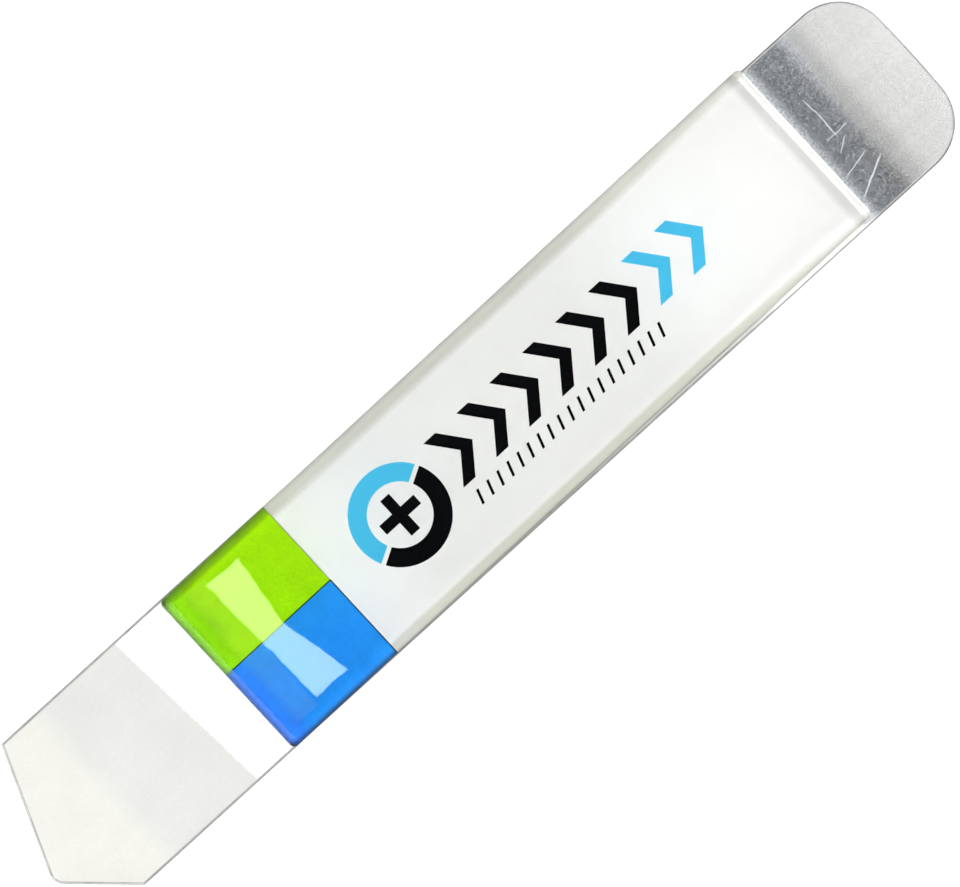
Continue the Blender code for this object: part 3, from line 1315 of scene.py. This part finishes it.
    def _joint_line(self, name: str) -> Object:
        """The hairline printed over the joints: between green and blue, then down between blue and white.

        Args:
            name: The piece's name.

        Returns:
            The line.
        """
        corner = Vector((self.joint_corner, 0.0, self.floor))
        piece = start_strip(name, corner, self.joint_width, self.joint_width)
        for outward, reach in (
            (Vector((-1.0, 0.0, 0.0)), self.joint_corner - self.joint_start),
            (Vector((0.0, -1.0, 0.0)), self.joint_depth),
        ):
            grow_arm(piece, corner + outward * self.joint_width / 2, outward * (reach - self.joint_width))
        return raise_sheet(piece, self.height)


class Face(Enum):
    """The blade's two faces, with the turn that lays a label on each."""

    FRONT = ("front", 0.0)
    BACK = ("back", math.pi)

    @property
    def side(self) -> str:
        """The first part of the names of the face's pieces."""
        return self.value[0]

    @property
    def roll(self) -> float:
        """The turn about the blade's long axis."""
        return self.value[1]


@dataclass
class Label:
    """One label: adhesive sheet, three film panels, printed marks and the resin dome over them."""

    face: Face
    plan: LabelPlan
    overlap: float = 0.03 * MM  # how far the resin sinks round the film, so that no air shows between them
    shoulder: float = 0.9 * MM
    shoulder_steps: int = 16
    wall: float = 0.1 * MM
    ink_depth: float = 0.002 * MM  # how far the ink sinks into the film
    crown_margin: float = 0.25 * MM  # a flat ring inside the shoulder, so that the crown mirrors as a plane
    smooth_below: float = math.radians(40)

    def build(self, palette: Palette) -> None:
        """Models and dresses the label.

        Args:
            palette: The tool's materials.
        """
        side = self.face.side
        dress(frame["nodes"][f"{side}_adhesive_sheet"], palette.adhesive)
        for panel in Panel:
            dress(frame["nodes"][f"{side}_{panel.value}"], palette.panels[panel])
        film_top = self._farthest(f"{side}_white_film")
        marks = PrintedMarks(
            floor=film_top - self.ink_depth,
            joint_start=-self.plan.length / 2,
            joint_corner=-self.plan.length / 2 + self._panel_length(),
            joint_depth=self.plan.width / 2,
        )
        for piece, ink in marks.build(side):
            dress(piece, palette.inks[ink])
            self._lay(piece)
            hand_over(piece)
        self._dome(palette, film_top - self.overlap)

    @staticmethod
    def _mid_height() -> float:
        """The height of the blade's mid-plane."""
        low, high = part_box("blade")
        return (low.z + high.z) / 2

    def _farthest(self, node: str) -> float:
        """How far a node reaches from the blade's mid-plane."""
        low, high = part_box(node)
        return max(abs(height - self._mid_height()) for height in (low.z, high.z))

    def _panel_length(self) -> float:
        """How long the coloured panels are, up to the middle of their joint with the white one."""
        (_, _, _), (blue_end, _, _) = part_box("front_blue_panel")
        (white_start, _, _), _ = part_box("front_white_film")
        joint = (blue_end + white_start) / 2
        return joint - (self.plan.centre[0] - self.plan.length / 2)

    def _lay(self, piece: Object) -> None:
        """Moves a piece from the label's own frame to its place on the blade."""
        take_up(piece)
        piece.rotation_euler = (self.face.roll, 0.0, self.plan.angle)
        piece.location = (*self.plan.centre, self._mid_height())
        bpy.ops.object.transform_apply(location=True, rotation=True, scale=True)
        deselect_everything()

    def _dome(self, palette: Palette, foot: float) -> None:
        """Models the resin: an upright foot, a rounded shoulder and a flat crown.

        Args:
            palette: The tool's materials.
            foot: The resin's lower surface, from the blade's mid-plane.
        """
        side = self.face.side
        length = self.plan.length + 2 * self.overlap
        width = self.plan.width + 2 * self.overlap
        rise = self._farthest(f"{side}_resin_dome") - foot
        dome = start_box(
            f"{side}_clear_dome", Vector((0.0, 0.0, foot + self.wall / 2)), Vector((length, width, self.wall))
        )
        select_where(dome, "EDGE", is_upright)
        round_off(self.plan.corner_radius, segments=10)
        select_where(dome, "FACE", lambda f: f.normal.z > LEVEL)
        inset, height = 0.0, self.wall
        for step in range(1, self.shoulder_steps + 1):
            angle = math.pi / 2 * step / self.shoulder_steps
            next_inset = self.shoulder * (1 - math.cos(angle))
            next_height = self.wall + (rise - self.wall) * math.sin(angle)
            bpy.ops.mesh.extrude_region_move(
                TRANSFORM_OT_translate={"value": (0.0, 0.0, next_height - height)}
            )
            bpy.ops.transform.resize(
                value=(
                    (length / 2 - next_inset) / (length / 2 - inset),
                    (width / 2 - next_inset) / (width / 2 - inset),
                    1.0,
                ),
                center_override=(0.0, 0.0, 0.0),
            )
            inset, height = next_inset, next_height
        bpy.ops.mesh.inset(thickness=self.crown_margin)
        close_piece(dome, self.smooth_below)
        dress(dome, palette.resin)
        self._lay(dome)
        hand_over(dome, (f"{side}_resin_dome",))


# ---- Studio ----


def make_glow(card: Object, tint: Colour) -> MaterialHand:
    """Gives a card a black material that only glows, and returns its hand."""
    hand = MaterialHand(f"{card.name}_glow")
    hand.give(Base_Color=grey(0.0), Emission_Color=tint)
    dress(card, hand.made)
    return hand


@dataclass(frozen=True)
class StripCard:
    """A small bright card high over the tool, narrow in the middle, mirrored in the coloured panels."""

    height: float = 1.0
    upper_end: float = 19.67 * MM
    lower_end: float = -19.63 * MM
    # The card's two long sides, each at its upper end, middle and lower end.
    outer_side: tuple[float, float, float] = (-73.6 * MM, -72.6 * MM, -71.7 * MM)
    inner_side: tuple[float, float, float] = (-62.9 * MM, -65.1 * MM, -61.3 * MM)
    radiance: float = 9.0
    tint: Colour = (1.0, 1.3, 0.6, 1.0)

    def hang(self) -> Object:
        """Makes the card, facing down.

        Returns:
            The card.
        """
        middle = Vector((
            (self.outer_side[1] + self.inner_side[1]) / 2, (self.upper_end + self.lower_end) / 2, self.height
        ))
        width = self.inner_side[1] - self.outer_side[1]
        card = start_strip("strip_card", middle, width, self.upper_end - self.lower_end)
        bpy.ops.mesh.select_all(action="SELECT")
        bpy.ops.mesh.subdivide(number_cuts=1)
        for side, way in ((self.outer_side, -1.0), (self.inner_side, 1.0)):
            for row, place in enumerate(side):
                across = middle.y + (1 - row) * (self.upper_end - self.lower_end) / 2
                select_where(
                    card, "VERT",
                    lambda v, y=across, w=way: abs(v.co.y - y) < MM and (v.co.x - middle.x) * w > MM,
                )
                bpy.ops.transform.translate(value=(place - middle.x - way * width / 2, 0.0, 0.0))
        close_piece(card)
        make_glow(card, self.tint).give(Emission_Strength=self.radiance)
        return card


@dataclass(frozen=True)
class VeilCard:
    """A dim card beside the strip card, fading out away from it, whose image lies as a veil on the panels."""

    height: float = 1.001
    outer_side: float = -81.2 * MM
    inner_side: float = -72.9 * MM
    full_from: float = -78.0 * MM  # where it has reached its full radiance
    width: float = 43.0 * MM
    radiance: float = 0.8
    tint: Colour = (1.0, 0.9, 0.5, 1.0)

    def hang(self) -> Object:
        """Makes the card, facing down.

        Returns:
            The card.
        """
        middle = Vector(((self.outer_side + self.inner_side) / 2, 0.0, self.height))
        card = start_strip("veil_card", middle, self.inner_side - self.outer_side, self.width)
        close_piece(card)
        hand = make_glow(card, self.tint)
        along = hand.apart(hand.place)[0]
        hand.give(Emission_Strength=hand.span(
            along, self.outer_side / MM, self.full_from / MM, 0.0, self.radiance
        ))
        return card


@dataclass(frozen=True)
class Softbox:
    """A rectangular studio light, aimed at the tool from a bearing and a tilt off the vertical."""

    name: str
    bearing: float
    aside: float = math.radians(39.5)
    distance: float = 0.9
    width: float = 0.8
    height: float = 0.67
    radiance: float = 5.1

    def hang(self) -> None:
        """Makes the light."""
        data = bpy.data.lights.new(self.name, "AREA")
        data.shape = "RECTANGLE"
        data.size, data.size_y = self.width, self.height
        data.energy = self.radiance * math.pi * self.width * self.height
        lamp = bpy.data.objects.new(self.name, data)
        bpy.context.scene.collection.objects.link(lamp)
        reach = math.sin(self.aside)
        way = Vector((reach * math.cos(self.bearing), reach * math.sin(self.bearing), math.cos(self.aside)))
        lamp.location = way * self.distance
        lamp.rotation_euler = (-way).to_track_quat("-Z", "Y").to_euler()


@dataclass
class Studio:
    """A pale floor, a softbox beyond each end of the tool, a dim gap over the camera, and the camera."""

    distance: float = 0.65
    view_width: float = 0.09516
    aim: tuple[float, float] = (1.26 * MM, -0.134 * MM)
    roll: float = math.radians(-42.3)
    sensor: float = 36.0
    room_radiance: float = 0.35
    gap_radiance: float = 0.06
    gap_edge: tuple[float, float] = (math.radians(14.0), math.radians(24.0))
    strip: StripCard = StripCard()
    veil: VeilCard = VeilCard()
    softboxes: tuple[Softbox, ...] = (
        Softbox("rounded_end_softbox", 0.0), Softbox("pointed_end_softbox", math.pi),
    )

    def build(self) -> None:
        """Sets up the floor, lights, surroundings and camera."""
        self._floor()
        for card in (self.strip, self.veil):
            card.hang()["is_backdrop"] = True
        for softbox in self.softboxes:
            softbox.hang()
        self._surroundings()
        self._camera()
        bpy.context.scene.view_settings.view_transform = "Standard"

    def _floor(self) -> None:
        """Lays a wide pale floor under the tool."""
        deselect_everything()
        bpy.ops.mesh.primitive_plane_add(size=12.0, location=(0.0, 0.0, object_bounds()[0].z - 0.01 * MM))
        floor = bpy.context.object
        floor.name = "studio_floor"
        hand = MaterialHand("pale_floor")
        # Gloss on the tool sees a dimmer floor, as it would see the room past a small sheet of card.
        mirrored = hand.add("LightPath").outputs["Is Glossy Ray"]
        hand.give(
            Base_Color=hand.blend(mirrored, grey(0.7), grey(0.15)),
            Emission_Color=hand.blend(mirrored, grey(1.0), grey(0.1)),
            Roughness=0.9, Specular_IOR_Level=0.0, Emission_Strength=0.45,
        )
        dress(floor, hand.made)
        floor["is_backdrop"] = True

    def _surroundings(self) -> None:
        """Gives the room a dim even light, with a darker, bluish gap where the camera stands."""
        room = bpy.data.worlds.new("studio_room")
        room.use_nodes = True
        hand = Tree(room.node_tree)
        aside = hand.math("ARCCOSINE", hand.apart(hand.add("TexCoord").outputs["Generated"])[2])
        past_gap = hand.span(aside, *self.gap_edge)
        background = room.node_tree.nodes["Background"]
        hand.feed(background.inputs["Color"],
                  hand.blend(past_gap, (0.80, 0.95, 1.20, 1.0), (1.0, 1.0, 1.0, 1.0)))
        hand.feed(background.inputs["Strength"],
                  hand.span(aside, *self.gap_edge, self.gap_radiance, self.room_radiance))
        bpy.context.scene.world = room

    def _camera(self) -> None:
        """Points the camera straight down at the tool."""
        data = bpy.data.cameras.new("camera")
        data.sensor_width = self.sensor
        data.lens = self.sensor * self.distance / self.view_width
        camera = bpy.data.objects.new("camera", data)
        bpy.context.scene.collection.objects.link(camera)
        camera.location = (*self.aim, self.distance)
        camera.rotation_euler = (0.0, 0.0, self.roll)
        bpy.context.scene.camera = camera


def main() -> None:
    """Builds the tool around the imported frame."""
    logging.basicConfig(level=logging.INFO, format="%(message)s")
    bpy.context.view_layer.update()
    plan = LabelPlan.measured(LABEL_ANGLE)
    palette = Palette(SharedEffects(), plan)
    Blade().build(palette)
    for face in Face:
        Label(face, plan).build(palette)
    Studio().build()


if __name__ == "__main__":
    main()
